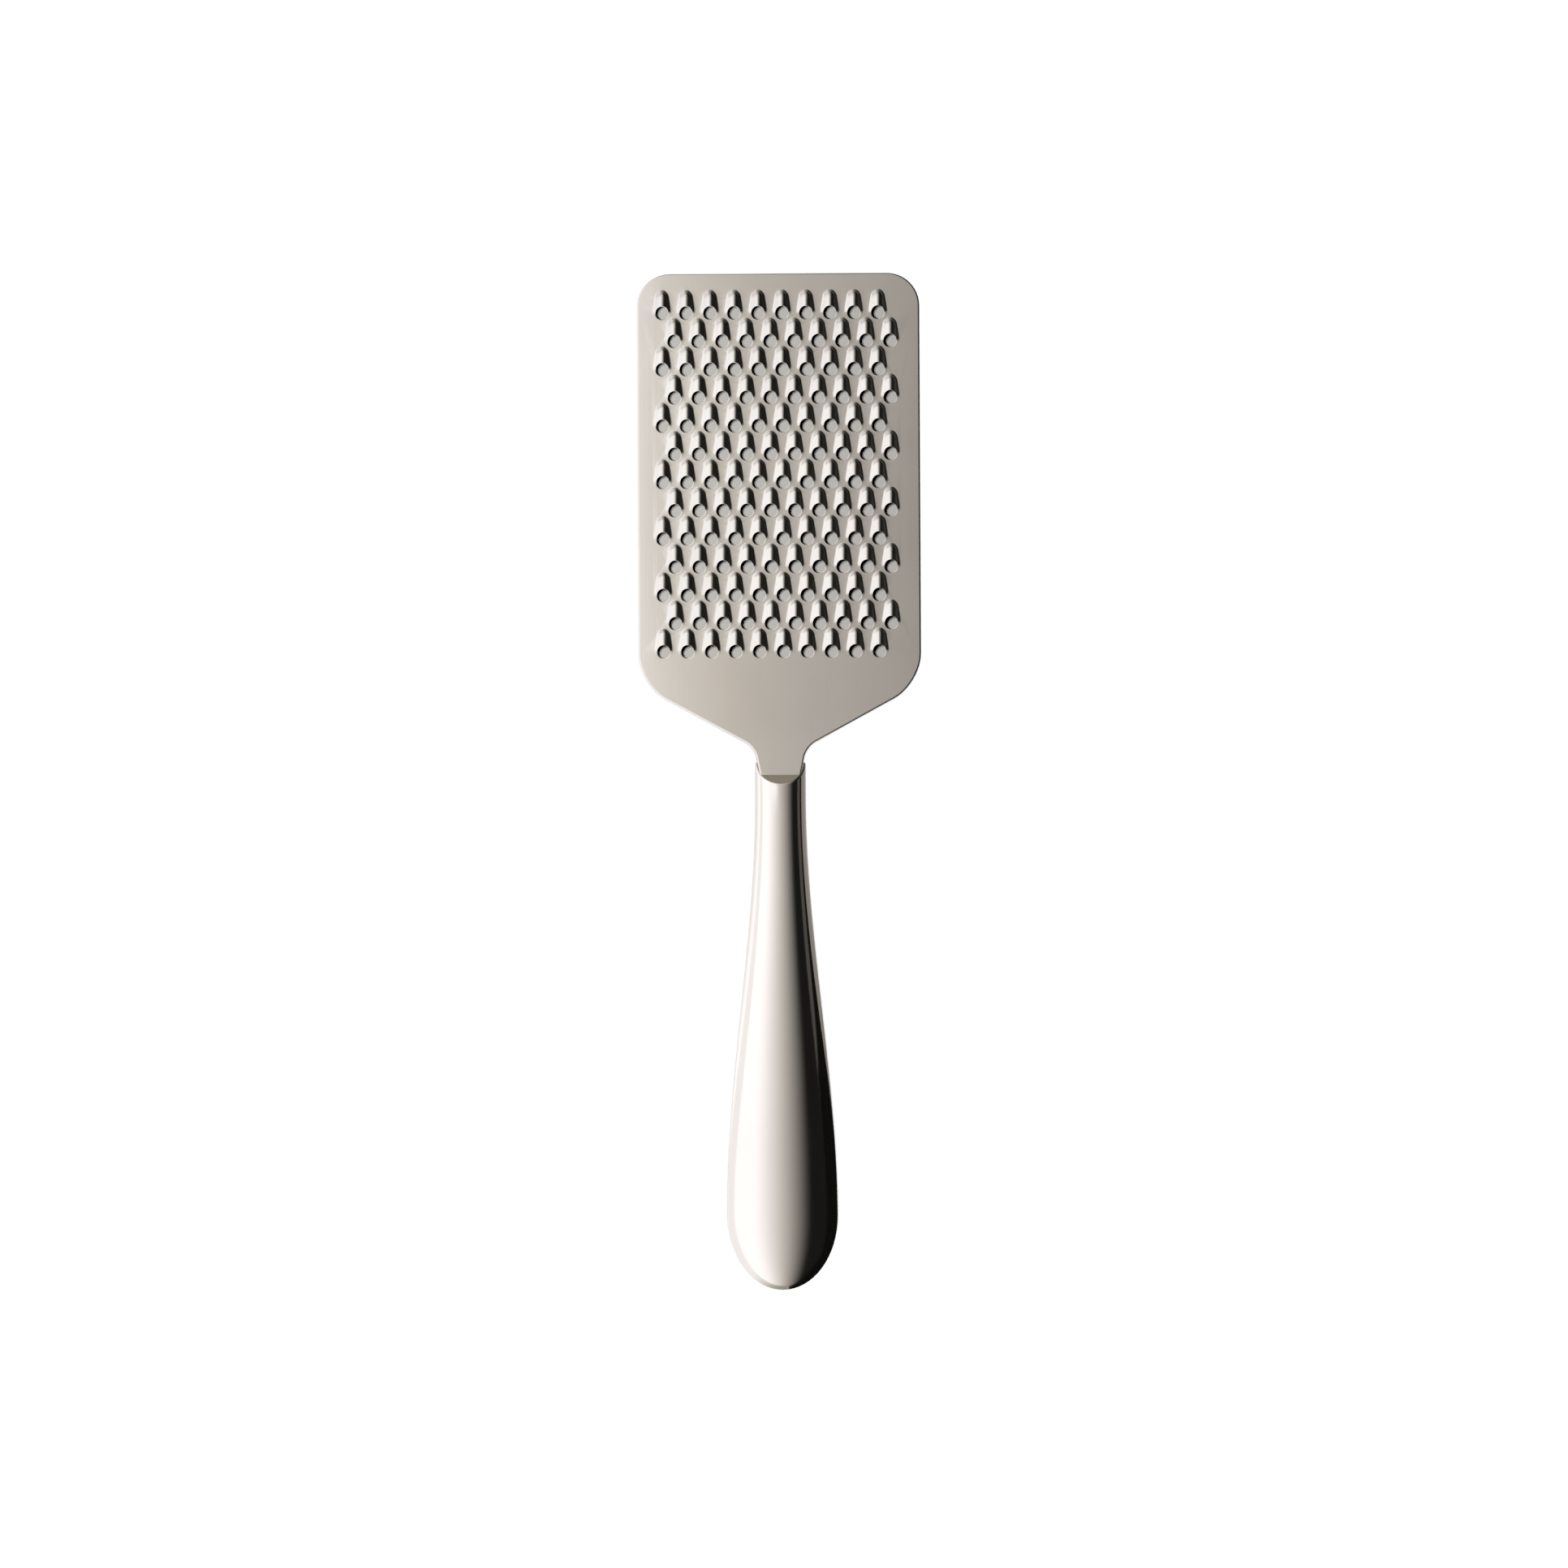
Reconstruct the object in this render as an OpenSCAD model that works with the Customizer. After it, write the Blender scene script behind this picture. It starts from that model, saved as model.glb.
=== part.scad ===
// Flat hand grater: a stamped stainless plate with pressed teeth, its tang potted in a hollow handle.
// The plate lies level. +Y points to the front edge of the plate, +Z up, away from the underside.
// The origin is under the middle of the grater, at the height of the lowest point of the handle.
// Distances named d run from the front edge of the plate towards the end of the handle.

/* [Overall] */
// Length from the front edge of the plate to the end of the handle
overall_l = 275; // [262:1:300]

/* [Plate] */
// Width of the plate
plate_w = 76.3; // [74:0.1:84]
// Thickness of the sheet
plate_t = 1; // [0.8:0.05:1.3]
// Radius of the two front corners
front_r = 8.8; // [4:0.1:12]
// Front edge to the point where the lines of a side and a shoulder cross
side_l = 111; // [109:0.5:114]
// Slope of the shoulders
shoulder_angle = 28.6; // [26:0.1:30]
// Radius between a side and a shoulder
shoulder_r = 13.8; // [8:0.1:18]
// Front edge to the handle, along the top of the plate
plate_l = 135.5; // [133:0.5:142]

/* [Neck and tang] */
// Width of the neck at the foot of the shoulders
neck_w = 14; // [13:0.1:15]
// Radius between a shoulder and the neck
neck_r = 6; // [3:0.1:7]
// Width of the neck at its inner end
neck_end_w = 9.9; // [9:0.1:10.8]
// Depth to which the full neck goes into the handle
neck_seat = 3; // [2:0.1:4]
// Width of the tang
tang_w = 6.4; // [5:0.1:7]
// Length of the tang behind the neck
tang_l = 45; // [30:1:60]
// Radius of the corners at the end of the tang
tang_r = 2; // [0.5:0.1:2.4]
// Diameter of the hole that keys the tang in the filler
key_d = 3.2; // [2:0.1:4]
// Hole centre to the end of the tang
key_inset = 8; // [5:0.5:12]
// Depth ground off the underside of the tang
tang_relief = 0.1; // [0.05:0.01:0.2]
// Start of that grinding ahead of the nose of the handle
relief_lead = 0.6; // [0.3:0.1:1.5]

/* [Teeth] */
// Spacing of the teeth in a row
tooth_pitch = 6.48; // [6.4:0.02:8]
// Spacing of the rows
row_pitch = 7.62; // [7.5:0.02:9]
// Front edge to the noses of the first row
tooth_margin = 4.7; // [4:0.1:9]
// Least distance from a side of the plate to the hole centres
side_margin = 6.6; // [6:0.1:12]
// Shift of the teeth to the left of the middle of the plate
field_shift = 0.6; // [0:0.1:1]
// Least distance from the hole centres to the end of the sides
tail_margin = 7.5; // [6.5:0.1:14]
// Nose of a hood to the centre of its hole
hood_l = 6; // [5.6:0.1:6.2]
// Width of the round-nosed bar that the hood is pressed over
hood_w = 5.6; // [5.4:0.1:5.8]
// Width of the hood across its round nose
nose_w = 3.7; // [3.5:0.1:4]
// Rise of the bar from the nose to the lip
hood_angle = 10; // [8:0.5:12]
// Thickness of the sheet in the drawn hood
hood_t = 0.55; // [0.4:0.05:0.7]
// Diameter of the hole under the lip
hole_d = 3.7; // [3.5:0.05:3.8]
// Climb of the two legs of a hood from the hole's centre to the lip
rim_angle = 50; // [48:1:60]

/* [Handle] */
// Width of the handle at its mouth
mouth_w = 13.6; // [13:0.1:15]
// Height of the handle at its mouth
mouth_h = 9.6; // [9.2:0.1:11]
// Length of even width behind the nose
mouth_l = 10; // [9.5:0.5:16]
// Greatest width of the handle
belly_w = 29.8; // [24:0.1:34]
// Greatest height of the handle
belly_h = 11.4; // [10:0.1:14]
// Crown of the widest section: 0.5 is an ellipse, and more is drawn towards a lens
belly_crown = 0.95; // [0.8:0.01:1]
// Widest point to the end of the handle
end_l = 20; // [15:0.5:26]
// Wall of the two pressed shells
shell_t = 0.8; // [0.6:0.05:1]
// Top of the plate above the seam of the shells
plate_rise = 2.75; // [2.4:0.05:2.9]
// Lean of the half-moon face from upright
face_lean = 51; // [45:0.5:55]
// Lean of the face under the nose from upright
under_lean = 28; // [15:0.5:40]

/* [Plug and filler] */
// Length of the plug from the nose of the handle
plug_l = 9.2; // [8:0.1:9.4]
// Length of the filler behind the plug
filler_l = 48; // [40:1:70]
// Clearance of the inner pieces in the shells, and of the slots round the tang
braze_gap = 0.1; // [0.06:0.01:0.15]

/* [Hidden] */
$fn = 48;

// Steps of the curved outlines: round an outline corner, along the handle, over its end, round a half section
corner_steps = 10;
body_steps = 26;
end_steps = 9;
arc_steps = 20;
filler_steps = 12;
// Overrun of a cutting shape past the piece that it cuts
over = 2;

seam_z = belly_h / 2;
plate_z = seam_z + plate_rise;
shoulder_d = side_l + (plate_w - neck_w) / 2 * tan(shoulder_angle);
neck_d = plate_l + neck_seat;
tang_d = neck_d + tang_l;
nose_d = plate_l - plate_rise * tan(face_lean);
grip_d = nose_d + mouth_l;
belly_d = overall_l - end_l;
plug_d = nose_d + plug_l;
nose_y = hood_l - nose_w / 2;
bar_depth = sqrt(pow(hood_w / 2, 2) - pow(nose_w / 2, 2));
lip_h = hood_w / 2 / cos(hood_angle) - bar_depth + (nose_y - hole_d / 2) * tan(hood_angle);
first_row_d = tooth_margin + hood_l;
tooth_rows = floor((side_l - tail_margin - first_row_d) / row_pitch) + 1;
tooth_columns = floor((plate_w - 2 * (side_margin + field_shift)) / tooth_pitch + 1 / 2);
inner_inset = shell_t + braze_gap;

// Y of a distance from the front edge
function at(d) = overall_l / 2 - d;
function unit(v) = v / norm(v);
function mix(a, b, t) = a + (b - a) * t;
function ease(t) = t * t * (3 - 2 * t);

// Outline corner p between its neighbours a and b, as points on an arc of radius r
function corner(a, p, b, r) =
    let (u = unit(a - p), v = unit(b - p), half = acos(u * v) / 2)
    let (centre = p + unit(u + v) * r / sin(half))
    let (from = p + u * r / tan(half) - centre, to = p + v * r / tan(half) - centre)
    let (start = atan2(from.y, from.x), turn = atan2(to.y, to.x) - start)
    let (sweep = turn > 180 ? turn - 360 : turn < -180 ? turn + 360 : turn)
    [for (i = [0 : corner_steps]) let (q = start + sweep * i / corner_steps) centre + r * [cos(q), sin(q)]];

// Outline through corners given as [x, y, radius], with each corner rounded
function rounded(corners) =
    let (n = len(corners), xy = [for (c = corners) [c.x, c.y]])
    [for (i = [0 : n - 1]) let (r = corners[i].z)
        each r > 0 ? corner(xy[(i + n - 1) % n], xy[i], xy[(i + 1) % n], r) : [xy[i]]];

// Right half of the plate, from the front edge back
half_plate = [
    [plate_w / 2, at(0), front_r],
    [plate_w / 2, at(side_l), shoulder_r],
    [neck_w / 2, at(shoulder_d), neck_r],
    [neck_end_w / 2, at(neck_d), 0],
    [tang_w / 2, at(neck_d), 0],
    [tang_w / 2, at(tang_d), tang_r],
];

function mirrored(corners) =
    [for (i = [len(corners) - 1 : -1 : 0]) let (c = corners[i]) [-c.x, c.y, c.z]];

// Half width and half height of the handle, drawn in by inset
function swell(d) = ease(min(1, max(0, (d - grip_d) / (belly_d - grip_d))));
function dome(d, inset) = d <= belly_d ? 1 : sqrt(max(0, 1 - pow((d - belly_d) / (end_l - inset), 2)));
function half_w(d, inset) = (mix(mouth_w, belly_w, swell(d)) / 2 - inset) * dome(d, inset);
function half_h(d, inset) = (mix(mouth_h, belly_h, swell(d)) / 2 - inset) * pow(dome(d, inset), 2 * crown(d));

// Crown of the section: that of an ellipse at the mouth, growing to the belly's
function crown(d) = mix(1 / 2, belly_crown, swell(d));

// Point of the handle's section at angle q from the seam on the right
function section_z(d, q) = sign(sin(q)) * pow(abs(sin(q)), 2 * crown(d));
function section_point(d, inset, q) = [half_w(d, inset) * cos(q), at(d), half_h(d, inset) * section_z(d, q)];
function ring(d, inset, steps) = [for (k = [0 : steps]) section_point(d, inset, 180 * k / arc_steps)];
function half_ring(d, inset) = ring(d, inset, arc_steps);
function full_ring(d, inset) = ring(d, inset, 2 * arc_steps - 1);

// Places of the sections of a shell, closer together over the end of the handle
function shell_places(inset) = [
    nose_d - over,
    for (i = [0 : body_steps]) mix(grip_d, belly_d, i / body_steps),
    for (i = [1 : end_steps - 1]) belly_d + (end_l - inset) * sin(90 * i / end_steps),
];

// Two triangles of a four-sided face
function quad(a, b, c, d) = [[a, b, c], [a, c, d]];

// Pressed half of the handle above the seam, open at the front, before its front is cut
module half_shell() {
    side = arc_steps + 1;
    outer = [for (d = shell_places(0)) each half_ring(d, 0)];
    inner = [for (d = shell_places(shell_t)) each half_ring(d, shell_t)];
    tips = [[0, at(overall_l), 0], [0, at(overall_l - shell_t), 0]];
    rings = len(shell_places(0));
    skin = len(outer);
    tip = 2 * skin;
    right = (rings - 1) * side;
    left = right + arc_steps;
    faces = [
        for (r = [0 : rings - 2], k = [0 : arc_steps - 1]) let (a = r * side + k, b = a + side)
            each concat(quad(a, b, b + 1, a + 1), quad(skin + a, skin + a + 1, skin + b + 1, skin + b)),
        for (k = [0 : arc_steps - 1]) let (a = right + k)
            each [[a, tip, a + 1], [skin + a, skin + a + 1, tip + 1]],
        for (k = [0 : arc_steps - 1])
            each quad(k, k + 1, skin + k + 1, skin + k),
        for (r = [0 : rings - 2]) let (a = r * side, b = a + side, c = a + arc_steps, d = b + arc_steps)
            each concat(quad(a, skin + a, skin + b, b), quad(c, d, skin + d, skin + c)),
        each quad(right, skin + right, tip + 1, tip),
        each quad(left, tip, tip + 1, skin + left),
    ];
    polyhedron(concat(outer, inner, tips), faces);
}

// Solid of the handle's section, drawn in by inset, through the given places
module core(places, inset) {
    side = 2 * arc_steps;
    last = (len(places) - 1) * side;
    faces = [
        [for (k = [0 : side - 1]) k],
        for (r = [0 : len(places) - 2], k = [0 : side - 1])
            let (a = r * side + k, b = r * side + (k + 1) % side)
            each quad(a, a + side, b + side, b),
        [for (k = [side - 1 : -1 : 0]) last + k],
    ];
    polyhedron([for (d = places) each full_ring(d, inset)], faces);
}

// Space ahead of the handle: the half-moon face leans back above the nose, and a steeper face below it
module ahead_of_nose() {
    reach = mouth_h;
    rotate([90, 0, 90])
        translate([0, 0, -mouth_w])
            linear_extrude(2 * mouth_w)
                polygon([
                    [at(nose_d), 0],
                    [at(nose_d + reach * tan(face_lean)), reach],
                    [at(nose_d) + 2 * over, reach],
                    [at(nose_d) + 2 * over, -reach],
                    [at(nose_d + reach * tan(under_lean)), -reach],
                ]);
}

// Slot for the blade: open to both sides for the neck, then as wide as the tang
module blade_slot() {
    front = at(nose_d) + 3 * over;
    step = at(neck_d + braze_gap);
    end = at(tang_d + braze_gap);
    half = tang_w / 2 + braze_gap;
    translate([0, 0, plate_rise - plate_t - braze_gap])
        linear_extrude(plate_t + 2 * braze_gap)
            polygon([
                [mouth_w, front],
                [mouth_w, step],
                [half, step],
                [half, end],
                [-half, end],
                [-half, step],
                [-mouth_w, step],
                [-mouth_w, front],
            ]);
}

// Round-nosed bar lying under a hood, rising from the nose towards the lip
module hood_bar(radius) {
    translate([0, nose_y, -bar_depth])
        rotate([90 - hood_angle, 0, 0]) {
            sphere(radius);
            cylinder(r = radius, h = 2 * hood_l);
        }
}

// Side profile of a hood: its rim climbs from the plate at the hole's centre past the height of the lip
module hood_profile() {
    top = lip_h + over;
    back = hood_l + hood_w;
    rotate([90, 0, 90])
        translate([0, 0, -hood_w])
            linear_extrude(2 * hood_w)
                polygon([
                    [0, -plate_t / 2],
                    [0, 0],
                    [top / tan(rim_angle), top],
                    [back, top],
                    [back, -plate_t / 2],
                ]);
}

// Pressed hood over a hole, with the hole's centre at the origin and the nose towards +Y
module hood() {
    intersection() {
        hood_bar(hood_w / 2);
        hood_profile();
    }
}

// Hole under the lip and the hollow behind it
module hood_hollow() {
    translate([0, 0, -plate_t - over])
        cylinder(d = hole_d, h = plate_t + lip_h + 2 * over);
    intersection() {
        hood_bar(hood_w / 2 - hood_t);
        translate([-hood_w, hole_d / 4, -plate_t - over])
            cube([2 * hood_w, hood_l + hood_w, plate_t + lip_h + 2 * over]);
    }
}

// The children at every tooth, with odd and even rows set a quarter pitch to either side
module at_teeth() {
    for (row = [0 : tooth_rows - 1], column = [0 : tooth_columns - 1]) {
        stagger = (row % 2 == 0 ? -1 : 1) * tooth_pitch / 4;
        translate([
            (column - (tooth_columns - 1) / 2) * tooth_pitch + stagger - field_shift,
            at(first_row_d + row * row_pitch),
            0,
        ]) children();
    }
}

module grater_plate() {
    color("#BDB7AF")
        translate([0, 0, plate_z])
            difference() {
                union() {
                    translate([0, 0, -plate_t])
                        linear_extrude(plate_t)
                            polygon(rounded(concat(half_plate, mirrored(half_plate))));
                    at_teeth() hood();
                }
                at_teeth() hood_hollow();
                translate([0, at(tang_d - key_inset), -plate_t - over])
                    cylinder(d = key_d, h = plate_t + 2 * over);
                translate([-neck_w, at(tang_d + over), -plate_t - over])
                    cube([2 * neck_w, tang_d - nose_d + relief_lead + over, over + tang_relief]);
            }
}

module handle_upper_shell() {
    color("#C9C3BB")
        translate([0, 0, seam_z])
            difference() {
                half_shell();
                ahead_of_nose();
                blade_slot();
            }
}

module handle_lower_shell() {
    color("#B4AEA6")
        translate([0, 0, seam_z])
            difference() {
                mirror([0, 0, 1]) half_shell();
                ahead_of_nose();
            }
}

module mouth_plug() {
    color("#857F76")
        translate([0, 0, seam_z])
            difference() {
                core([nose_d - over, plug_d], inner_inset);
                ahead_of_nose();
                blade_slot();
            }
}

module tang_filler() {
    color("#4A4642")
        translate([0, 0, seam_z])
            difference() {
                core([for (i = [0 : filler_steps]) plug_d + filler_l * i / filler_steps], inner_inset);
                difference() {
                    blade_slot();
                    translate([0, at(tang_d - key_inset), plate_rise - plate_t - over])
                        cylinder(d = key_d - 2 * braze_gap, h = plate_t + 2 * over);
                }
            }
}

grater_plate();
handle_upper_shell();
handle_lower_shell();
mouth_plug();
tang_filler();
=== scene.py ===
import math

import bmesh
import bpy
from mathutils import Matrix, Vector


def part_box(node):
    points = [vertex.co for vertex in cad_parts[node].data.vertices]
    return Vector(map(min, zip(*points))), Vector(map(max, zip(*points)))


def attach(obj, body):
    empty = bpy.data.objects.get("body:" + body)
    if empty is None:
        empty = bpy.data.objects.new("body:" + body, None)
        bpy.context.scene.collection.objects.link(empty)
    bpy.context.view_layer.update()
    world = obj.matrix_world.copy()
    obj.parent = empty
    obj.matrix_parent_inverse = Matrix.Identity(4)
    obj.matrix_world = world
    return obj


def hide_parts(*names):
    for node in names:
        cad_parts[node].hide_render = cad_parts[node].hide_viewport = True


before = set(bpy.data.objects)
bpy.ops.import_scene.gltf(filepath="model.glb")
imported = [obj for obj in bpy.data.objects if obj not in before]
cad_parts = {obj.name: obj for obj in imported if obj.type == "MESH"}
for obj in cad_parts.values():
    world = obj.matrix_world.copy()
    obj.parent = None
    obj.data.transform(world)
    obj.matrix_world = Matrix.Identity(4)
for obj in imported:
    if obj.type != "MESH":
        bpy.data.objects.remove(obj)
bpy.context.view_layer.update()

mm = 0.001
sameLevel = 1e-4  # mm; closer than this counts as one
onPlane = 1e-3  # mm; nearer than this lies in the plane
cutSnap = 1e-5  # mm; points this near a cut move onto it
flatNormal = 0.999  # least height of a flat face's normal
plateLow, plateHigh = (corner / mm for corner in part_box("grater_plate"))
upperLow, upperHigh = (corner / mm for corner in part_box("handle_upper_shell"))
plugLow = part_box("mouth_plug")[0] / mm
frontY = plateHigh.y
endY = upperLow.y
noseY = upperHigh.y
seamZ = upperLow.z
print("frame loaded, nodes:", sorted(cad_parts))


# Small helpers

def linear(hexColour):
    channels = [int(hexColour[i:i + 2], 16) / 255 for i in (1, 3, 5)]
    return [c / 12.92 if c <= 0.04045 else ((c + 0.055) / 1.055) ** 2.4 for c in channels] + [1]


def addNode(tree, kind, links=None, **settings):
    node = tree.nodes.new(kind)
    for name, value in settings.items():
        setattr(node, name, value)
    for socket, value in (links or {}).items():
        if isinstance(value, bpy.types.NodeSocket):
            tree.links.new(value, node.inputs[socket])
        else:
            node.inputs[socket].default_value = value
    return node


def newMaterial(name):
    material = bpy.data.materials.new(name)
    material.use_nodes = True
    material.node_tree.nodes.clear()
    return material, material.node_tree


def newObject(name, bm, *materials):
    mesh = bpy.data.meshes.new(name)
    bm.to_mesh(mesh)
    bm.free()
    for material in materials:
        mesh.materials.append(material)
    thing = bpy.data.objects.new(name, mesh)
    bpy.context.scene.collection.objects.link(thing)
    return thing


def addPiece(name, bm, materials, node, sharpAngle):
    bmesh.ops.scale(bm, vec=(mm, mm, mm), verts=bm.verts)  # modelled in mm, shown in metres
    piece = newObject(name, bm, *materials)
    piece.data.shade_smooth()
    piece.data.set_sharp_from_angle(angle=math.radians(sharpAngle))
    flatten = piece.modifiers.new("flatFacesFirst", "WEIGHTED_NORMAL")  # keeps the wide faces flat to the eye
    flatten.weight = 100  # the widest count most
    flatten.keep_sharp = True
    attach(piece, "root")
    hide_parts(node)
    print("piece", name, len(piece.data.polygons), "faces")


def mix(a, b, t):
    return a + (b - a) * t


def ease(t):
    t = min(1, max(0, t))
    return t * t * (3 - 2 * t)


def smoothMin(a, b, width):
    h = max(width - abs(a - b), 0) / width
    return min(a, b) - h * h * width / 4


def extrudeRow(bm, edges, place):
    # draws a row of edges out once more; place gives each new point from its step along the row
    step = bm.verts.layers.int["step"]
    grown = bmesh.ops.extrude_edge_only(bm, edges=edges)["geom"]
    for vert in (g for g in grown if isinstance(g, bmesh.types.BMVert)):
        vert.co = place(vert[step])
    return [g for g in grown if isinstance(g, bmesh.types.BMEdge)]


def cutAndClose(bm, point, normal):
    # takes off what lies on the normal's side of a plane and closes the cut
    geom = bm.verts[:] + bm.edges[:] + bm.faces[:]
    bmesh.ops.bisect_plane(
        bm, geom=geom, plane_co=point, plane_no=normal, clear_outer=True, dist=cutSnap,
    )
    rims = [edge for edge in bm.edges if edge.is_boundary]
    return bmesh.ops.holes_fill(bm, edges=rims, sides=0)["faces"]


# Materials

# Stainless sheet with a fine lengthwise grind: a soft grey mirror with faint streaks along the plate
satinSteel = {
    "colour": "#D8D3CC",
    "shade": "#CBC6BF",
    "roughness": (0.13, 0.2),
    "grainWidth": 0.6,  # mm; the real grit lines are about 0.1 mm, too fine to show
    "grainLength": 45,  # mm
    "patchSize": 22,  # mm, slight unevenness of the rolled sheet
    "bump": 0.03,
}

# Stainless pressed shells, brushed along the handle and polished: a clearer mirror than the plate
brushedSteel = {
    "colour": "#E2DCD6",
    "shade": "#DBD5CF",
    "roughness": (0.07, 0.12),
    "grainWidth": 0.5,  # mm; drawn coarser than the real brush lines
    "grainLength": 70,  # mm
    "patchSize": 30,  # mm
    "bump": 0.02,
}

# Plug face ground flush across the mouth: duller, with its lines running from side to side
groundSteel = {
    "colour": "#C4BCAC",
    "shade": "#BCB4A4",
    "roughness": (0.26, 0.34),
    "grainWidth": 0.4,  # mm
    "grainLength": 12,  # mm
    "patchSize": 6,  # mm
    "bump": 0.05,
}

grainRange = (0.3, 0.7)  # where most of the noise lies
grainDepth = 0.1  # mm
grainDetail = 3
patchDetail = 1


def steel(name, look, alongX=False):
    material, tree = newMaterial(name)
    place = addNode(tree, "ShaderNodeTexCoord")
    fine, long = 1 / (look["grainWidth"] * mm), 1 / (look["grainLength"] * mm)
    stretch = (long, fine, fine) if alongX else (fine, long, fine)
    lines = addNode(tree, "ShaderNodeMapping", {"Vector": place.outputs["Object"], "Scale": stretch})
    grain = addNode(tree, "ShaderNodeTexNoise", {
        "Vector": lines.outputs[0],
        "Scale": 1,
        "Detail": grainDetail,
    })
    patches = addNode(tree, "ShaderNodeTexNoise", {
        "Vector": place.outputs["Object"],
        "Scale": 1 / (look["patchSize"] * mm),
        "Detail": patchDetail,
    })
    tone = addNode(tree, "ShaderNodeMix", {
        "Factor": patches.outputs[0],
        "A": linear(look["colour"]),
        "B": linear(look["shade"]),
    }, data_type="RGBA")
    gloss = addNode(tree, "ShaderNodeMapRange", {
        "Value": grain.outputs[0],
        "From Min": grainRange[0],
        "From Max": grainRange[1],
        "To Min": look["roughness"][0],
        "To Max": look["roughness"][1],
    })
    bump = addNode(tree, "ShaderNodeBump", {
        "Height": grain.outputs[0], "Strength": look["bump"], "Distance": grainDepth * mm,
    })
    shader = addNode(tree, "ShaderNodeBsdfPrincipled", {
        "Base Color": tone.outputs["Result"],
        "Metallic": 1,
        "Roughness": gloss.outputs[0],
        "Normal": bump.outputs[0],
    })
    addNode(tree, "ShaderNodeOutputMaterial", {"Surface": shader.outputs[0]})
    return material


# Filled epoxy round the tang, cast inside the handle: dull dark grey with a fine mottle
pottingResin = {"colour": "#5A554F", "shade": "#4A4540", "mottle": 2, "roughness": 0.6}


def resin(look):
    material, tree = newMaterial("epoxyPotting")
    place = addNode(tree, "ShaderNodeTexCoord")
    mottle = addNode(tree, "ShaderNodeTexNoise", {
        "Vector": place.outputs["Object"],
        "Scale": 1 / (look["mottle"] * mm),
    })
    tone = addNode(tree, "ShaderNodeMix", {
        "Factor": mottle.outputs[0],
        "A": linear(look["colour"]),
        "B": linear(look["shade"]),
    }, data_type="RGBA")
    shader = addNode(tree, "ShaderNodeBsdfPrincipled", {
        "Base Color": tone.outputs["Result"],
        "Roughness": look["roughness"],
    })
    addNode(tree, "ShaderNodeOutputMaterial", {"Surface": shader.outputs[0]})
    return material


plateSteel = steel("satinStainlessSheet", satinSteel)
handleSteel = steel("brushedStainlessShell", brushedSteel)
plugSteel = steel("groundStainlessPlug", groundSteel, alongX=True)
print("materials made")


# Teeth: each is a hood pressed up over a round-nosed bar, open at the back above its hole

tooth = {  # lengths in mm
    "pitch": 6.48,
    "rowPitch": 7.62,
    "rows": 13,
    "columns": 10,
    "shift": -0.6,  # middle of the teeth from the middle of the plate
    "firstRow": 10.7,  # front edge to the first hole centres
    "length": 6.1,  # nose to hole centre
    "barRadius": 2.8,
    "noseHalf": 1.9,  # half the width of the hood where its nose starts
    "noseLength": 2.3,
    "noseTip": 0.01,  # least value under the root, so that the tip keeps a tenth of the width
    "rise": math.radians(10),
    "flank": 0.5,  # height of the ridge over half the width of the hood
    "ridge": 0.6,  # roundness of the ridge
    "holeRadius": 1.8,
    "legPlace": 0.2,  # end of a leg, ahead of the hole's centre
    "legStart": 0.1,  # the free edge leaves the plate this far ahead of the hole's centre
    "legClimb": math.tan(math.radians(50)),
    "edgeSoftness": 0.3,
    "foot": 0.12,  # roundness where the hood runs into the plate
    "wall": 0.55,  # sheet thickness left in the drawn hood
    "hollowStart": 0.95,  # end of the hollow, ahead of the hole's centre
    "hollowRim": 0.1,  # how far the back of the hole widens towards the underside
    "roll": 0.05,  # depth to which the punch drags down the back rim of the hole
    "rim": 0.2,  # width of that rim
    "collar": 0.3,  # width of the flat ring round each tooth
    "sideSteps": 6,
    "noseSteps": 10,
    "rearSteps": 10,
    "rings": (0, 0.1, 0.26, 0.5, 0.72, 0.88, 1),  # from the hole's edge to the foot
}
hoodSteps = 2 * tooth["sideSteps"] + tooth["noseSteps"]
toothSteps = hoodSteps + tooth["rearSteps"]
noseCentre = tooth["length"] - tooth["noseLength"]
barDepth = math.sqrt(tooth["barRadius"] ** 2 - tooth["noseHalf"] ** 2)
sheet = 1  # mm, thickness of the plate
plateTop = plateLow.z + sheet


def barHalf(y, radius, level):
    # half the width of the bar at a height
    lean = (barDepth + level) * math.cos(tooth["rise"]) + (y - noseCentre) * math.sin(tooth["rise"])
    return math.sqrt(radius ** 2 - lean ** 2)


def barOutline(step, radius, level, start):
    # plan of the bar at a height: up the right side, round the nose, down the left side
    if step > hoodSteps / 2:
        mirrored = barOutline(hoodSteps - step, radius, level, start)
        return Vector((-mirrored.x, mirrored.y))
    if step > tooth["sideSteps"]:
        around = math.pi * (step - tooth["sideSteps"]) / tooth["noseSteps"]
        half = barHalf(noseCentre, radius, level)
        ahead = half * tooth["noseLength"] / tooth["noseHalf"]
        return Vector((half * math.cos(around), noseCentre + ahead * math.sin(around)))
    y = mix(start, noseCentre, step / tooth["sideSteps"])
    return Vector((barHalf(y, radius, level), y))


def hoodHeight(x, y):
    # plain flanks that meet in a round ridge, over a point of the plate
    reach = barHalf(min(y, noseCentre), tooth["barRadius"], 0)
    if y > noseCentre:
        reach *= math.sqrt(max(1 - ((y - noseCentre) / tooth["noseLength"]) ** 2, tooth["noseTip"]))
    ridge = tooth["ridge"]
    fall = (math.hypot(x, ridge) - ridge) / (math.hypot(reach, ridge) - ridge)
    return tooth["flank"] * reach * (1 - fall)


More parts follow.
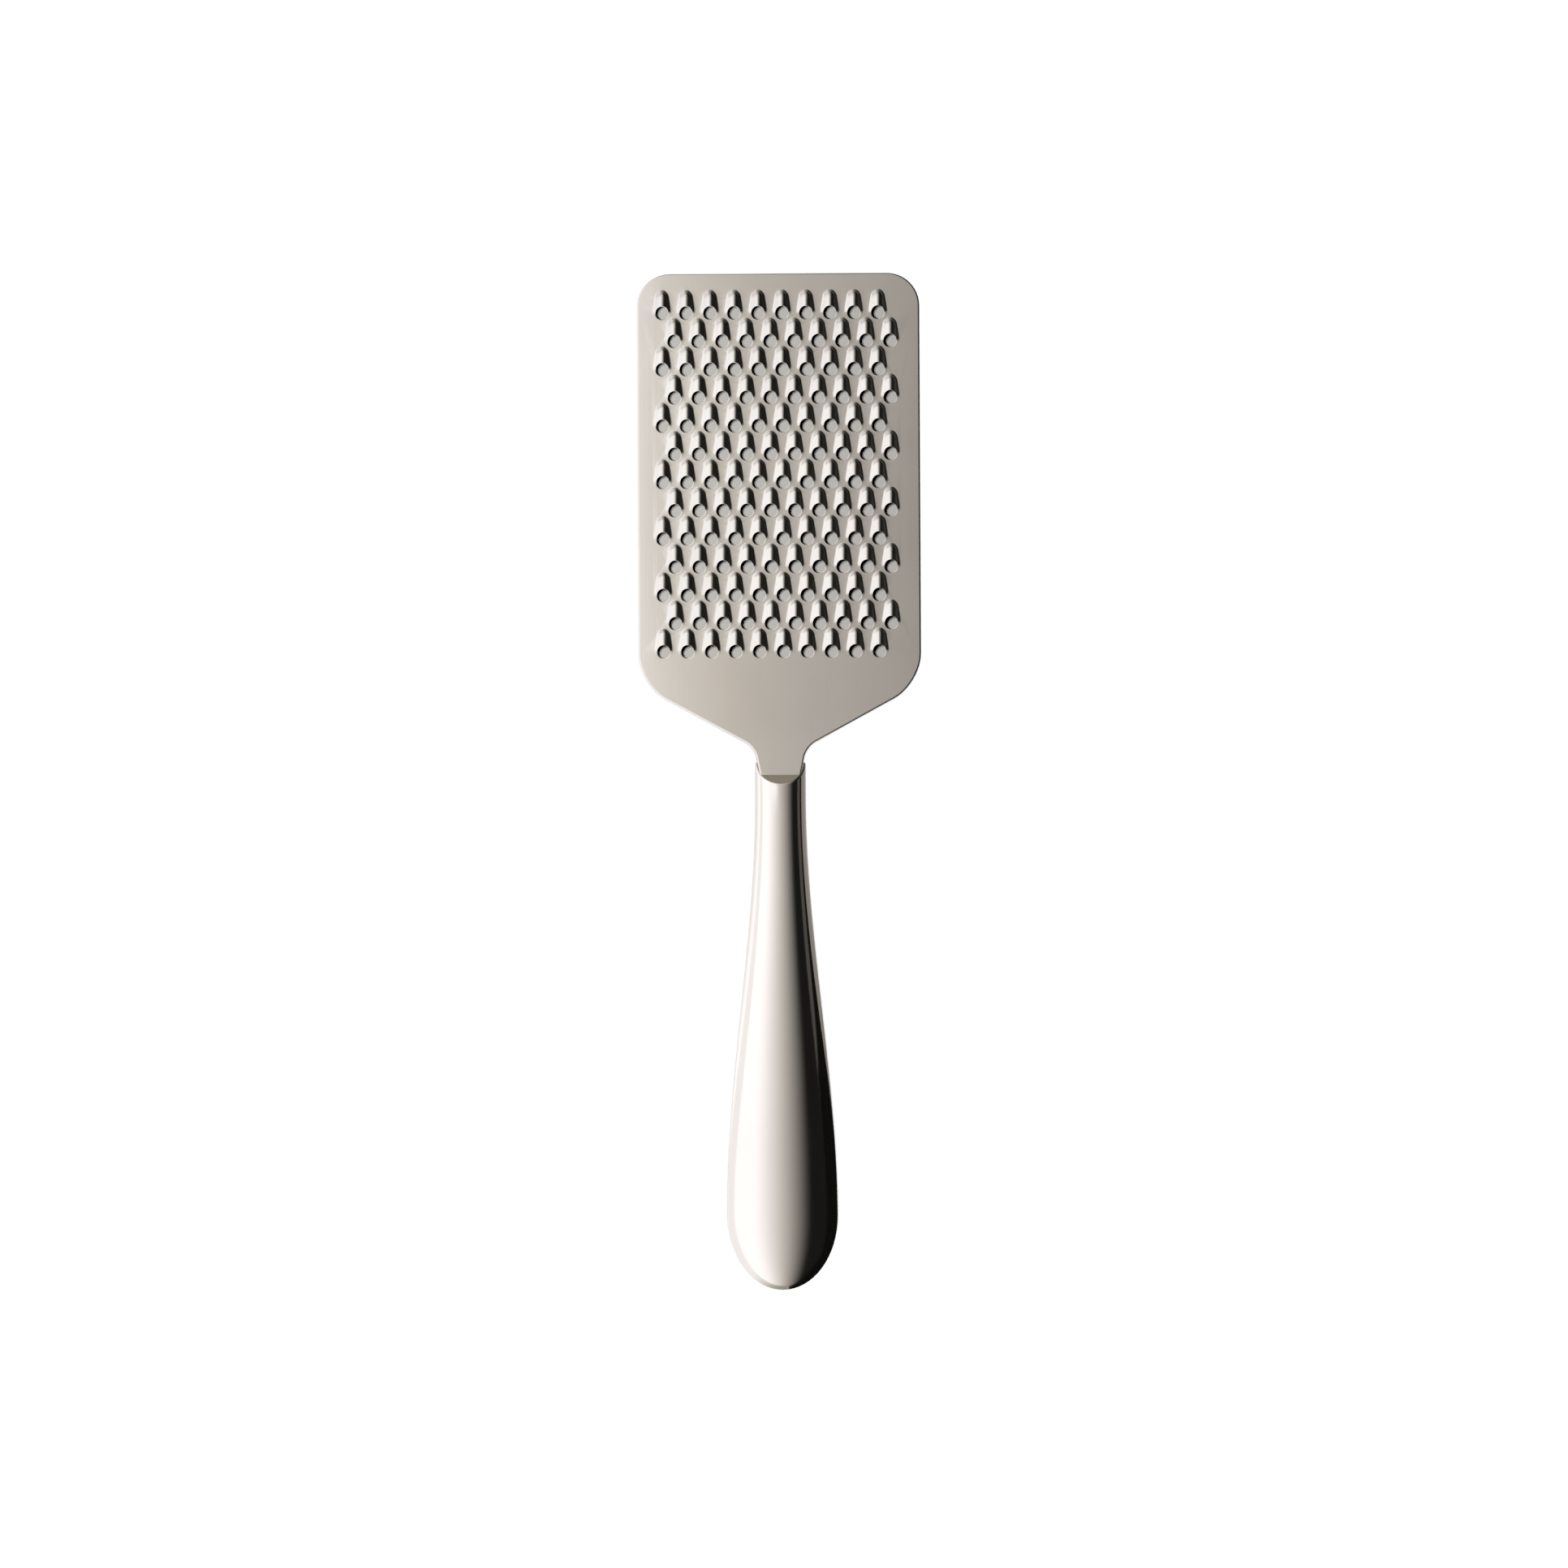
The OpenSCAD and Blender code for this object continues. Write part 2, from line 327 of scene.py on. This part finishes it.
def edgePoint(step):
    # plan of the hole's edge: the lip of the hood in front, the rim behind
    if step > hoodSteps:
        around = math.pi + math.pi * (step - hoodSteps) / tooth["rearSteps"]
    else:
        around = math.pi * step / hoodSteps
    return tooth["holeRadius"] * Vector((math.cos(around), math.sin(around)))


def footPoint(step):
    # plan of the line where the hood or the rim runs out into the plate
    if step > hoodSteps:
        return edgePoint(step) * (1 + tooth["rim"] / tooth["holeRadius"])
    return barOutline(step, tooth["barRadius"], 0, tooth["legPlace"])


def topPoint(step, share):
    plan = edgePoint(step).lerp(footPoint(step), share)
    if step > hoodSteps:
        height = -tooth["roll"] * (1 - share) ** 2
    else:
        climb = (plan.y - tooth["legStart"]) * tooth["legClimb"]
        cut = smoothMin(hoodHeight(plan.x, plan.y), climb, tooth["edgeSoftness"])
        height = (cut + math.hypot(cut, tooth["foot"])) / 2
    return Vector((plan.x, plan.y, height))


def collarPoint(step):
    edge, foot = edgePoint(step), footPoint(step)
    out = (foot - edge).normalized() + edge.normalized()
    plan = foot + out.normalized() * tooth["collar"]
    return Vector((plan.x, plan.y, 0))


def edgeBottom(step):
    top = topPoint(step, 0)
    return Vector((top.x, top.y, max(-sheet, top.z - tooth["wall"])))


def hollowPoint(step):
    # plan of the hollow's mouth in the underside
    if step > hoodSteps:
        plan = edgePoint(step) * (1 + tooth["hollowRim"] / tooth["holeRadius"])
    else:
        plan = barOutline(step, tooth["barRadius"] - tooth["wall"], -sheet, tooth["hollowStart"])
    return Vector((plan.x, plan.y, -sheet))


def makeTooth():
    bm = bmesh.new()
    step = bm.verts.layers.int.new("step")
    ring = bmesh.ops.create_circle(bm, segments=toothSteps, radius=tooth["length"])["verts"]
    for i, vert in enumerate(ring):
        vert[step] = i
        vert.co = collarPoint(i)
    edges = bm.edges[:]
    for share in reversed(tooth["rings"]):
        edges = extrudeRow(bm, edges, lambda i: topPoint(i, share))
    edges = extrudeRow(bm, edges, edgeBottom)
    extrudeRow(bm, edges, hollowPoint)
    mesh = bpy.data.meshes.new("toothShape")
    bm.to_mesh(mesh)
    bm.free()
    return mesh


# Plate: sheet outline with rounded corners and rim, teeth set in, flat faces filled between them

plate = {  # lengths in mm
    "sideLength": 111,
    "shoulderSlope": math.tan(math.radians(28.6)),
    "neckWidth": 14,
    "neckEndWidth": 9.9,
    "neckEnd": 138.5,
    "tangWidth": 6.4,
    "cornerRadii": (8.8, 13.8, 6, 0, 0, 2),  # front corner, shoulder, neck, step, step, tang end
    "rimRadius": 0.48,
    "keyDiameter": 3.2,
    "keyInset": 8,
    "cornerSteps": 12,
    "rimSteps": 4,
    "keySteps": 32,
    "sharpAngle": 38,  # degrees
}


def plateCorners():
    half = plateHigh.x
    neck = plate["neckWidth"] / 2
    shoulder = frontY - plate["sideLength"]
    neckEnd = frontY - plate["neckEnd"]
    tang = plate["tangWidth"] / 2
    return [
        (half, frontY),
        (half, shoulder),
        (neck, shoulder - (half - neck) * plate["shoulderSlope"]),
        (plate["neckEndWidth"] / 2, neckEnd),
        (tang, neckEnd),
        (tang, plateLow.y),
    ]


def roundCorner(bm, vert, radius):
    ways = [edge.other_vert(vert).co - vert.co for edge in vert.link_edges]
    reach = radius / math.tan(ways[0].angle(ways[1]) / 2)
    bmesh.ops.bevel(
        bm, geom=[vert], offset=reach, offset_type="OFFSET", affect="VERTICES",
        segments=plate["cornerSteps"], profile=0.5, material=-1, clamp_overlap=False,
    )


def plateRim(bm):
    right = plateCorners()
    loop = right + [(-x, y) for x, y in reversed(right)]
    radii = plate["cornerRadii"] + plate["cornerRadii"][::-1]
    verts = [bm.verts.new((x, y, plateTop)) for x, y in loop]
    bm.faces.new(verts)
    for vert, radius in zip(verts, radii):
        if radius:
            roundCorner(bm, vert, radius)
    bmesh.ops.recalc_face_normals(bm, faces=bm.faces)
    grown = bmesh.ops.extrude_face_region(bm, geom=bm.faces[:], use_keep_orig=True)["geom"]
    bmesh.ops.translate(
        bm, vec=(0, 0, -sheet), verts=[g for g in grown if isinstance(g, bmesh.types.BMVert)],
    )
    bmesh.ops.recalc_face_normals(bm, faces=bm.faces)
    level = [edge for edge in bm.edges if abs(edge.verts[0].co.z - edge.verts[1].co.z) < sameLevel]
    bmesh.ops.bevel(
        bm, geom=level, offset=plate["rimRadius"], offset_type="OFFSET", affect="EDGES",
        segments=plate["rimSteps"], profile=0.5, material=-1, clamp_overlap=True,
    )
    flat = [face for face in bm.faces if abs(face.normal.z) > flatNormal]
    bmesh.ops.delete(bm, geom=flat, context="FACES_ONLY")  # filled again round the teeth


def toothPlaces():
    for row in range(tooth["rows"]):
        stagger = tooth["pitch"] / 4 * (-1 if row % 2 == 0 else 1)
        for column in range(tooth["columns"]):
            x = (column - (tooth["columns"] - 1) / 2) * tooth["pitch"] + stagger + tooth["shift"]
            yield Vector((x, frontY - tooth["firstRow"] - row * tooth["rowPitch"], plateTop))


def keyHole(bm):
    centre = Vector((0, plateLow.y + plate["keyInset"], plateTop))
    ring = bmesh.ops.create_circle(
        bm, segments=plate["keySteps"], radius=plate["keyDiameter"] / 2,
        matrix=Matrix.Translation(centre),
    )["verts"]
    edges = {edge for vert in ring for edge in vert.link_edges}
    grown = bmesh.ops.extrude_edge_only(bm, edges=list(edges))["geom"]
    bmesh.ops.translate(
        bm, vec=(0, 0, -sheet), verts=[g for g in grown if isinstance(g, bmesh.types.BMVert)],
    )


def makePlate():
    bm = bmesh.new()
    plateRim(bm)
    toothShape = makeTooth()
    for place in toothPlaces():
        copy = toothShape.copy()
        copy.transform(Matrix.Translation(place))
        bm.from_mesh(copy)
        bpy.data.meshes.remove(copy)
    bpy.data.meshes.remove(toothShape)
    keyHole(bm)
    for height, up in ((plateTop, 1), (plateTop - sheet, -1)):
        rims = [
            edge for edge in bm.edges
            if edge.is_boundary and all(abs(vert.co.z - height) < sameLevel for vert in edge.verts)
        ]
        bmesh.ops.triangle_fill(bm, edges=rims, use_beauty=True, normal=(0, 0, up))
    bmesh.ops.recalc_face_normals(bm, faces=bm.faces)
    return bm


addPiece("graterPlate", makePlate(), [plateSteel], "grater_plate", plate["sharpAngle"])


# Handle: two pressed shells that swell from a slim mouth, with a half-moon cut above the neck

handle = {  # lengths in mm
    "mouthWidth": 13.6,
    "mouthHeight": 9.6,
    "evenLength": 10,
    "endLength": 20,
    "mouthCrown": 0.5,  # an ellipse
    "bellyCrown": 0.95,  # nearer a lens
    "wall": 0.8,
    "faceLean": math.radians(51),
    "underLean": math.radians(28),
    "cutEdge": 0.4,  # rounding of the edge round the half-moon
    "seamEdge": 0.3,  # rounding of the edge along the seam
    "bodyRows": 44,
    "endRows": 16,
    "arcSteps": 36,
    "edgeSteps": 3,
    "overrun": 3,  # drawn this far past the nose before it is cut
    "sharpAngle": 40,  # degrees
}
bellyWidth = upperHigh.x - upperLow.x
bellyHeight = 2 * (upperHigh.z - upperLow.z)
bellyY = endY + handle["endLength"]
gripY = noseY - handle["evenLength"]


def sectionPoint(y, around, inset):
    swell = ease((gripY - y) / (gripY - bellyY))
    over = max(0, (bellyY - y) / (handle["endLength"] - inset))
    dome = math.sqrt(max(0, 1 - over * over))
    width = (mix(handle["mouthWidth"], bellyWidth, swell) / 2 - inset) * dome
    crown = mix(handle["mouthCrown"], handle["bellyCrown"], swell)
    height = (mix(handle["mouthHeight"], bellyHeight, swell) / 2 - inset) * dome ** (2 * crown)
    lift = math.copysign(abs(math.sin(around)) ** (2 * crown), math.sin(around))
    return Vector((width * math.cos(around), y, seamZ + height * lift))


def shellRows():
    rows = [noseY + handle["overrun"]]
    rows += [mix(gripY, bellyY, i / handle["bodyRows"]) for i in range(handle["bodyRows"] + 1)]
    for i in range(1, handle["endRows"]):
        rows.append(bellyY - handle["endLength"] * math.sin(math.pi / 2 * i / handle["endRows"]))
    return rows


def roundEdges(bm, edges, radius):
    bmesh.ops.bevel(
        bm, geom=edges, offset=radius, offset_type="OFFSET", affect="EDGES",
        segments=handle["edgeSteps"], profile=0.5, material=-1, clamp_overlap=True,
    )


def outerEdges(bm, gap):
    # edges where the outside of the shell meets a plane; gap gives a point's distance from it
    middle = Vector((0, 0, seamZ))
    edges = []
    for edge in bm.edges:
        if any(abs(gap(vert.co)) > onPlane for vert in edge.verts):
            continue
        for face in edge.link_faces:
            centre = face.calc_center_median()
            away = (centre - middle) * Vector((1, 0, 1))
            if abs(gap(centre)) > onPlane and face.normal.dot(away) > 0:
                edges.append(edge)
                break
    return edges


def makeShell(side):
    bm = bmesh.new()
    step = bm.verts.layers.int.new("step")
    rows = shellRows()

    def place(y):
        return lambda i: sectionPoint(y, side * math.pi * i / handle["arcSteps"], 0)

    first = [bm.verts.new(place(rows[0])(i)) for i in range(handle["arcSteps"] + 1)]
    for i, vert in enumerate(first):
        vert[step] = i
    edges = [bm.edges.new(pair) for pair in zip(first, first[1:])]
    for y in rows[1:]:
        edges = extrudeRow(bm, edges, place(y))
    edges = extrudeRow(bm, edges, lambda i: Vector((0, endY, seamZ)))
    tip = {vert for edge in edges for vert in edge.verts}
    bmesh.ops.remove_doubles(bm, verts=list(tip), dist=sameLevel)
    bmesh.ops.recalc_face_normals(bm, faces=bm.faces)
    if sum(face.normal.z for face in bm.faces) * side < 0:
        bmesh.ops.reverse_faces(bm, faces=bm.faces)
    bmesh.ops.solidify(bm, geom=bm.faces[:], thickness=handle["wall"])
    cutAndClose(bm, (0, 0, seamZ), (0, 0, -side))
    lean = handle["faceLean"] if side > 0 else handle["underLean"]
    normal = Vector((0, math.cos(lean), side * math.sin(lean)))
    nose = Vector((0, noseY, seamZ))
    for face in cutAndClose(bm, nose, normal):
        face.material_index = 1  # ground flush with the plug
    roundEdges(bm, outerEdges(bm, lambda point: (point - nose).dot(normal)), handle["cutEdge"])
    roundEdges(bm, outerEdges(bm, lambda point: point.z - seamZ), handle["seamEdge"])
    return bm


for name, side, node in (
    ("handleUpperShell", 1, "handle_upper_shell"),
    ("handleLowerShell", -1, "handle_lower_shell"),
):
    addPiece(name, makeShell(side), [handleSteel, plugSteel], node, handle["sharpAngle"])


# Plug: closes the mouth above and below the neck, ground flush with the shells

plug = {
    "sharpAngle": 30,  # degrees
}


def makePlug():
    bm = bmesh.new()
    steps = 2 * handle["arcSteps"]

    def place(y):
        return lambda i: sectionPoint(y, 2 * math.pi * i / steps, handle["wall"])

    for side, height in ((1, plateTop), (-1, plateTop - sheet)):
        part = bmesh.new()
        step = part.verts.layers.int.new("step")
        ring = bmesh.ops.create_circle(part, segments=steps, radius=1, cap_ends=True)["verts"]
        for i, vert in enumerate(ring):
            vert[step] = i
            vert.co = place(noseY + handle["overrun"])(i)
        edges = extrudeRow(part, part.edges[:], place(plugLow.y))
        bmesh.ops.holes_fill(part, edges=edges, sides=0)
        cutAndClose(part, (0, 0, height), (0, 0, -side))
        for lean, up in ((handle["faceLean"], 1), (handle["underLean"], -1)):
            cutAndClose(part, (0, noseY, seamZ), (0, math.cos(lean), up * math.sin(lean)))
        bmesh.ops.recalc_face_normals(part, faces=part.faces)
        mesh = bpy.data.meshes.new("plugPart")
        part.to_mesh(mesh)
        part.free()
        bm.from_mesh(mesh)
        bpy.data.meshes.remove(mesh)
    return bm


addPiece("mouthPlug", makePlug(), [plugSteel], "mouth_plug", plug["sharpAngle"])

# Filler: the CAD solid itself, hidden inside the handle
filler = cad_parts["tang_filler"]
filler.data.materials.clear()
filler.data.materials.append(resin(pottingResin))


# Stage: pale floor close under the belly of the handle and the front edge, a soft light tent over it

stage = {
    "floorSize": 12,  # m
    "floorColour": "#F2F2F2",
    "floorGlow": 0.35,  # share of the white that a shadow keeps
    "floorLight": 2.4,  # W per square metre
    "floorLightPlace": (0, 0, 1),  # straight above, so that the shadow stays under the grater
    "floorLightAngle": math.radians(11),  # softens the shadow's edge
    "underInset": 5,  # mm, card under the teeth, in from the edges of the plate
    "underGap": 0.55,  # mm, from the plate down to the card
    "underColour": "#DCD8D2",
    "tentHeight": 0.25,  # m
    "tentRadius": 0.7,  # m
    "tentSteps": 64,
    "brightColour": "#FBFBFF",  # tint of the cloth on its bright side
    "darkColour": "#FFFAF1",  # and on its dark side
    "topReach": (-0.26, 0.24),  # m, from bright to dark, as for each reach below
    "topBright": 1.5,
    "topDark": 0.012,
    "topFade": (0.2, 0.45),  # m; where the top dims towards the front
    "topFront": 0.55,  # share of its light left there
    "wallReach": (-0.42, 0),
    "wallBright": 1.25,
    "wallDark": 0.38,
    # ground cloth, seen only in the metal in place of the floor: bright on the left, painted shade on the
    # right where the floor beside the grip lies in shadow
    "groundReach": (-0.03, 0.02),
    "groundBright": 1.45,
    "groundPaintedShade": 0.3,
    "groundGap": 0.1,  # mm, from the shade down to the ground and from there to the floor
    "paintedShadeReach": 500,  # mm, painted shade sheet beside the plate and ahead of it
    # painted shade: the sheet's near-black level
    "paintedShadeLevel": 0.01,
    "panelPlace": (-0.2, -0.005, -0.005, 0.26),  # m; left, right, back, front; over the plate's left half
    "panelDrop": 0.001,  # m
    "panelReach": (-0.085, 0),
    "panelBright": 1.4,
    "panelDark": 0.71,
    "keyPower": 2.3,  # W
    "keyPlace": (-0.25, 0.1, 0.48),  # m; on the left and a little ahead
    "keySize": 0.16,  # m
}
standingCloths = {  # on the right; path and top in m
    "tentFlag": {  # black, for the dark flanks
        "path": ((0.5, -0.2), (0.5, 0.45), (0.16, 0.66)),
        "top": 0.09,
        "level": 0.005,
    },
    "tentScreen": {  # grey, behind the flag and above it
        "path": ((0.51, -0.2), (0.51, 0.46), (0.17, 0.67)),
        "top": 0.25,
        "level": 0.09,
    },
    "tentCurb": {  # low and black, round the right side of the grip
        "path": ((0.2, 0), (0.06, -0.08), (0.06, -0.16), (0.01, -0.2)),
        "top": 0.032,
        "level": 0.005,
    },
}


def paperMaterial(name, colour, glow):
    material, tree = newMaterial(name)
    ray = addNode(tree, "ShaderNodeLightPath")
    seen = addNode(tree, "ShaderNodeMath", {
        0: ray.outputs["Is Camera Ray"], 1: ray.outputs["Is Glossy Ray"],
    }, operation="MAXIMUM")
    strength = addNode(tree, "ShaderNodeMath", {0: seen.outputs[0], 1: glow}, operation="MULTIPLY")
    light = addNode(tree, "ShaderNodeEmission", {"Strength": strength.outputs[0]})
    fibre = addNode(tree, "ShaderNodeBsdfDiffuse", {"Color": linear(colour)})
    paper = addNode(tree, "ShaderNodeAddShader", {0: fibre.outputs[0], 1: light.outputs[0]})
    clear = addNode(tree, "ShaderNodeBsdfTransparent")  # seen from below, the paper doesn't hide the grater
    side = addNode(tree, "ShaderNodeNewGeometry")
    leaf = addNode(tree, "ShaderNodeMixShader", {
        0: side.outputs["Backfacing"], 1: paper.outputs[0], 2: clear.outputs[0],
    })
    addNode(tree, "ShaderNodeOutputMaterial", {"Surface": leaf.outputs[0]})
    return material


def floorShape(bm, drop):
    # tilts a sheet to carry the belly of the handle and to pass just under the card at the front edge
    front = plateLow.z - stage["underGap"] - 2 * stage["groundGap"]
    tilt = math.atan2(front, frontY - bellyY)
    rest = Vector((0, bellyY, 0)) * mm
    bmesh.ops.rotate(bm, cent=rest, matrix=Matrix.Rotation(tilt, 3, "X"), verts=bm.verts)
    bmesh.ops.translate(bm, vec=(0, 0, -drop * mm), verts=bm.verts)


def makeFloor():
    bm = bmesh.new()
    bmesh.ops.create_grid(bm, x_segments=1, y_segments=1, size=stage["floorSize"] / 2)
    floorShape(bm, 2 * stage["groundGap"])
    floor = newObject("floor", bm, paperMaterial("whitePaper", stage["floorColour"], stage["floorGlow"]))
    return floor


def makeUnderCard():
    # plain paper close under the teeth, so that the holes show their shade
    bm = bmesh.new()
    bmesh.ops.create_grid(bm, x_segments=1, y_segments=1, size=1)
    half = plateHigh.x - stage["underInset"]
    front = frontY - stage["underInset"]
    back = frontY - plate["sideLength"] + stage["underInset"]
    for vert in bm.verts:
        y = front if vert.co.y > 0 else back
        vert.co = Vector((math.copysign(half, vert.co.x), y, plateLow.z - stage["underGap"])) * mm
    card = newObject("underCard", bm, paperMaterial("greyPaper", stage["underColour"], 0))
    card.visible_glossy = False  # the underside shows the plain ground
    return card


def addTentPart(name, bm, reach, bright, dark, fade=(0, 1), front=1):
    # cloth that glows on the left and falls dark to the right, seen in the metal alone
    material, tree = newMaterial(name)
    place = addNode(tree, "ShaderNodeTexCoord")
    across = addNode(tree, "ShaderNodeSeparateXYZ", {0: place.outputs["Object"]})
    fall = addNode(tree, "ShaderNodeMapRange", {
        "Value": across.outputs["X"], "From Min": reach[0], "From Max": reach[1],
    }, interpolation_type="SMOOTHSTEP")
    level = addNode(tree, "ShaderNodeMapRange", {
        "Value": fall.outputs[0], "To Min": bright, "To Max": dark,
    })
    ahead = addNode(tree, "ShaderNodeMapRange", {
        "Value": across.outputs["Y"],
        "From Min": fade[0],
        "From Max": fade[1],
        "To Min": 1,
        "To Max": front,
    }, interpolation_type="SMOOTHSTEP")
    ray = addNode(tree, "ShaderNodeLightPath")
    straight = addNode(tree, "ShaderNodeMath", {
        0: ahead.outputs[0], 1: ray.outputs["Diffuse Depth"],
    }, operation="SUBTRACT", use_clamp=True)  # no light for the papers by way of the metal
    strength = addNode(tree, "ShaderNodeMath", {
        0: level.outputs[0], 1: straight.outputs[0],
    }, operation="MULTIPLY")
    tint = addNode(tree, "ShaderNodeMix", {
        "Factor": fall.outputs[0],
        "A": linear(stage["brightColour"]),
        "B": linear(stage["darkColour"]),
    }, data_type="RGBA")
    light = addNode(tree, "ShaderNodeEmission", {
        "Color": tint.outputs["Result"], "Strength": strength.outputs[0],
    })
    addNode(tree, "ShaderNodeOutputMaterial", {"Surface": light.outputs[0]})
    part = newObject(name, bm, material)
    part.visible_camera = False
    part.visible_diffuse = False
    part.visible_shadow = False


def levelCloth(place, height):
    left, right, back, front = place
    bm = bmesh.new()
    bmesh.ops.create_grid(bm, x_segments=1, y_segments=1, size=1)
    for vert in bm.verts:
        x = left if vert.co.x < 0 else right
        y = back if vert.co.y < 0 else front
        vert.co = Vector((x, y, height))
    return bm


def standingCloth(path, top):
    # cloth that stands on the floor along a path
    bm = bmesh.new()
    foot = [bm.verts.new((x, y, 0)) for x, y in path]
    edges = [bm.edges.new(ends) for ends in zip(foot, foot[1:])]
    raised = bmesh.ops.extrude_edge_only(bm, edges=edges)["geom"]
    verts = [part for part in raised if isinstance(part, bmesh.types.BMVert)]
    bmesh.ops.translate(bm, vec=(0, 0, top), verts=verts)
    return bm


def paintedShadeCloth():
    # painted shade: a near-black sheet beside the plate, seen only in the metal, where the floor there would
    # lie in the grater's shadow; it gives the dark line along the plate's right edge
    front, shoulder, neck = (Vector((x, y, 0)) for x, y in plateCorners()[:3])
    far = Vector((stage["paintedShadeReach"], 0, 0))
    ahead = Vector((0, stage["paintedShadeReach"], 0))
    outline = (neck, neck + far, front + far + ahead, front + ahead, shoulder)
    bm = bmesh.new()
    bm.faces.new([bm.verts.new(place * mm) for place in outline])
    return bm


def makeTent():
    steps, radius, height = stage["tentSteps"], stage["tentRadius"], stage["tentHeight"]
    top = bmesh.new()
    bmesh.ops.create_circle(top, cap_ends=True, segments=steps, radius=radius)
    bmesh.ops.translate(top, vec=(0, 0, height), verts=top.verts)
    addTentPart(
        "tentTop", top, stage["topReach"], stage["topBright"], stage["topDark"],
        stage["topFade"], stage["topFront"],
    )
    wall = bmesh.new()
    bmesh.ops.create_cone(
        wall, cap_ends=False, segments=steps, radius1=radius, radius2=radius, depth=2 * height,
    )
    addTentPart("tentWall", wall, stage["wallReach"], stage["wallBright"], stage["wallDark"])
    # ground seen in the metal in place of the floor, with painted shade on its right side
    ground = bmesh.new()
    bmesh.ops.create_circle(ground, cap_ends=True, segments=steps, radius=radius)
    floorShape(ground, stage["groundGap"])
    addTentPart(
        "tentGround", ground, stage["groundReach"], stage["groundBright"], stage["groundPaintedShade"],
    )
    for name, cloth in standingCloths.items():
        shape = standingCloth(cloth["path"], cloth["top"])
        addTentPart(name, shape, stage["wallReach"], cloth["level"], cloth["level"])
    # painted shade beside the plate, seen only in the metal
    shade = paintedShadeCloth()
    floorShape(shade, 0)
    addTentPart("paintedShadeSheet", shade, stage["groundReach"], stage["paintedShadeLevel"], stage["paintedShadeLevel"])
    panel = levelCloth(stage["panelPlace"], height - stage["panelDrop"])
    addTentPart("tentPanel", panel, stage["panelReach"], stage["panelBright"], stage["panelDark"])


def addLamp(name, kind, place, paper, **settings):
    # soft lamp for one sheet of paper; the metal shows the tent instead of the lamp
    data = bpy.data.lights.new(name, kind)
    for setting, value in settings.items():
        setattr(data, setting, value)
    lamp = bpy.data.objects.new(name, data)
    lamp.location = place
    lamp.rotation_euler = lamp.location.to_track_quat("Z", "Y").to_euler()
    lamp.visible_glossy = False
    lamp.visible_camera = False
    bpy.context.scene.collection.objects.link(lamp)
    lit = bpy.data.collections.new(name + "Paper")
    lit.objects.link(paper)
    lamp.light_linking.receiver_collection = lit


def makeSurround():
    # white to the eye and in the metal; it lights no paper
    world = bpy.data.worlds.new("surround")
    world.use_nodes = True
    tree = world.node_tree
    tree.nodes.clear()
    ray = addNode(tree, "ShaderNodeLightPath")
    seen = addNode(tree, "ShaderNodeMath", {
        0: ray.outputs["Is Camera Ray"], 1: ray.outputs["Is Glossy Ray"],
    }, operation="MAXIMUM")
    white = addNode(tree, "ShaderNodeBackground", {"Color": (1, 1, 1, 1), "Strength": seen.outputs[0]})
    addNode(tree, "ShaderNodeOutputWorld", {"Surface": white.outputs[0]})
    bpy.context.scene.world = world


floor = makeFloor()
card = makeUnderCard()
makeTent()
addLamp(
    "floorLight", "SUN", stage["floorLightPlace"], floor,
    energy=stage["floorLight"], angle=stage["floorLightAngle"],
)
addLamp("keyLight", "AREA", stage["keyPlace"], card, energy=stage["keyPower"], size=stage["keySize"])
makeSurround()
print("stage set")


# Camera: straight down, as the photograph was taken

camera = {
    "lens": 85,  # mm
    "sensor": 36,  # mm
    "viewWidth": 423.5,  # mm across the picture at the height of the plate
    "aimX": 0.94,  # mm from the grater's middle to the picture's middle
    "aimY": -0.49,
    "roll": math.radians(-0.3),  # the grater lies a little turned in the picture
}


def makeCamera():
    data = bpy.data.cameras.new("camera")
    data.lens = camera["lens"]
    data.sensor_width = camera["sensor"]
    distance = camera["viewWidth"] * camera["lens"] / camera["sensor"]
    eye = bpy.data.objects.new("camera", data)
    eye.location = Vector((camera["aimX"], camera["aimY"], plateTop + distance)) * mm
    eye.rotation_euler = (0, 0, camera["roll"])
    bpy.context.scene.collection.objects.link(eye)
    bpy.context.scene.camera = eye


makeCamera()
bpy.context.scene.view_settings.view_transform = "Standard"
